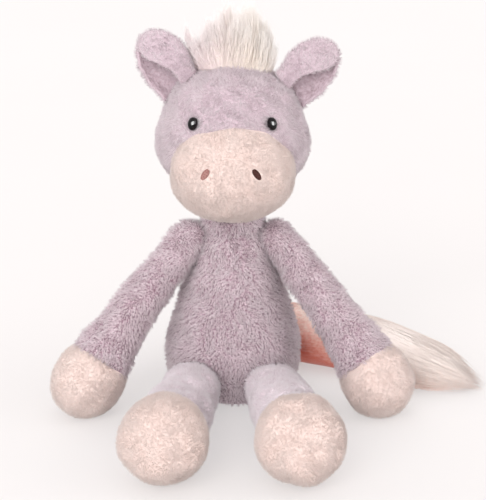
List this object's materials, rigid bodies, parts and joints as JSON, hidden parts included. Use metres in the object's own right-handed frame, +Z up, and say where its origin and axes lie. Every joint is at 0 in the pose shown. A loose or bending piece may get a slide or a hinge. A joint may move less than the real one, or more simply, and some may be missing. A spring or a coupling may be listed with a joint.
{
  "type": "plush toy pony",
  "caption": "Sitting plush pony with a stuffed round head, contrasting muzzle and hooves, long-pile forelock, mane and tail, and limbs that flop at their seams.",
  "frame": {"origin": "middle of the flat seat, on the surface that the toy sits on", "axes": "+Z up, the face and legs point along -Y, the toy's own left side and its tail are towards +X"},
  "size_m": [0.2579, 0.2281, 0.2286],
  "materials": {
    "lilac_plush": "deep soft pile",
    "blush_plush": "short clipped pile",
    "long_pile": "long combed pile, cream to peach",
    "filling": "white polyester fibre",
    "bag_cloth": "plain woven",
    "pellet": "small round plastic pellets",
    "eye_plastic": "polished black",
    "washer_plastic": "moulded",
    "dark_thread": "satin stitch",
    "tape": "woven tape"
  },
  "bodies": {
    "body": {"body_cover": "lilac_plush", "body_stuffing": "filling", "pellet_bag": "bag_cloth", "pellets": "pellet"},
    "head": {"head_cover": "lilac_plush", "muzzle_cover": "blush_plush", "head_stuffing": "filling", "forelock": "long_pile", "mane": "long_pile", "left_eye": "eye_plastic", "left_eye_washer": "washer_plastic", "left_nostril": "dark_thread", "right_eye": "eye_plastic", "right_eye_washer": "washer_plastic", "right_nostril": "dark_thread"},
    "left_ear": {"left_ear_back": "lilac_plush", "left_ear_lining": "lilac_plush"},
    "left_arm": {"left_arm_cover": "lilac_plush", "left_arm_hoof": "blush_plush", "left_arm_stuffing": "filling"},
    "left_leg": {"left_leg_cover": "lilac_plush", "left_leg_hoof": "blush_plush", "left_leg_stuffing": "filling"},
    "right_ear": {"right_ear_back": "lilac_plush", "right_ear_lining": "lilac_plush"},
    "right_arm": {"right_arm_cover": "lilac_plush", "right_arm_hoof": "blush_plush", "right_arm_stuffing": "filling"},
    "right_leg": {"right_leg_cover": "lilac_plush", "right_leg_hoof": "blush_plush", "right_leg_stuffing": "filling"},
    "tail": {"tail_tab": "tape", "tail_pile": "long_pile"}
  },
  "joints": [
    {"name": "neck_nod", "type": "hinge", "parent": "body", "child": "head", "pos_m": [0, 0, 0.104], "axis": [1, 0, 0], "range_deg": [-20, 20], "stiffness_Nm_per_rad": 0.4},
    {"name": "left_shoulder", "type": "hinge", "parent": "body", "child": "left_arm", "pos_m": [0.03304, -0.00583, 0.096], "axis": [-1, 0, 0], "range_deg": [-10, 100]},
    {"name": "left_hip", "type": "hinge", "parent": "body", "child": "left_leg", "pos_m": [0.02425, -0.042, 0.0155], "axis": [-1, 0, 0], "range_deg": [-60, 30]},
    {"name": "left_ear_flop", "type": "hinge", "parent": "head", "child": "left_ear", "pos_m": [0.03281, 0.002, 0.1914], "axis": [0.7428, 0, -0.6695], "range_deg": [-25, 30], "stiffness_Nm_per_rad": 0.01},
    {"name": "right_shoulder", "type": "hinge", "parent": "body", "child": "right_arm", "pos_m": [-0.03304, -0.00583, 0.096], "axis": [-1, 0, 0], "range_deg": [-10, 100]},
    {"name": "right_hip", "type": "hinge", "parent": "body", "child": "right_leg", "pos_m": [-0.02425, -0.042, 0.0155], "axis": [-1, 0, 0], "range_deg": [-60, 30]},
    {"name": "right_ear_flop", "type": "hinge", "parent": "head", "child": "right_ear", "pos_m": [-0.03281, 0.002, 0.1914], "axis": [0.7428, 0, 0.6695], "range_deg": [-25, 30], "stiffness_Nm_per_rad": 0.01},
    {"name": "tail_sweep", "type": "hinge", "parent": "body", "child": "tail", "pos_m": [0, 0.0465, 0.018], "axis": [0, 0, 1], "range_deg": [0, 90]}
  ]
}
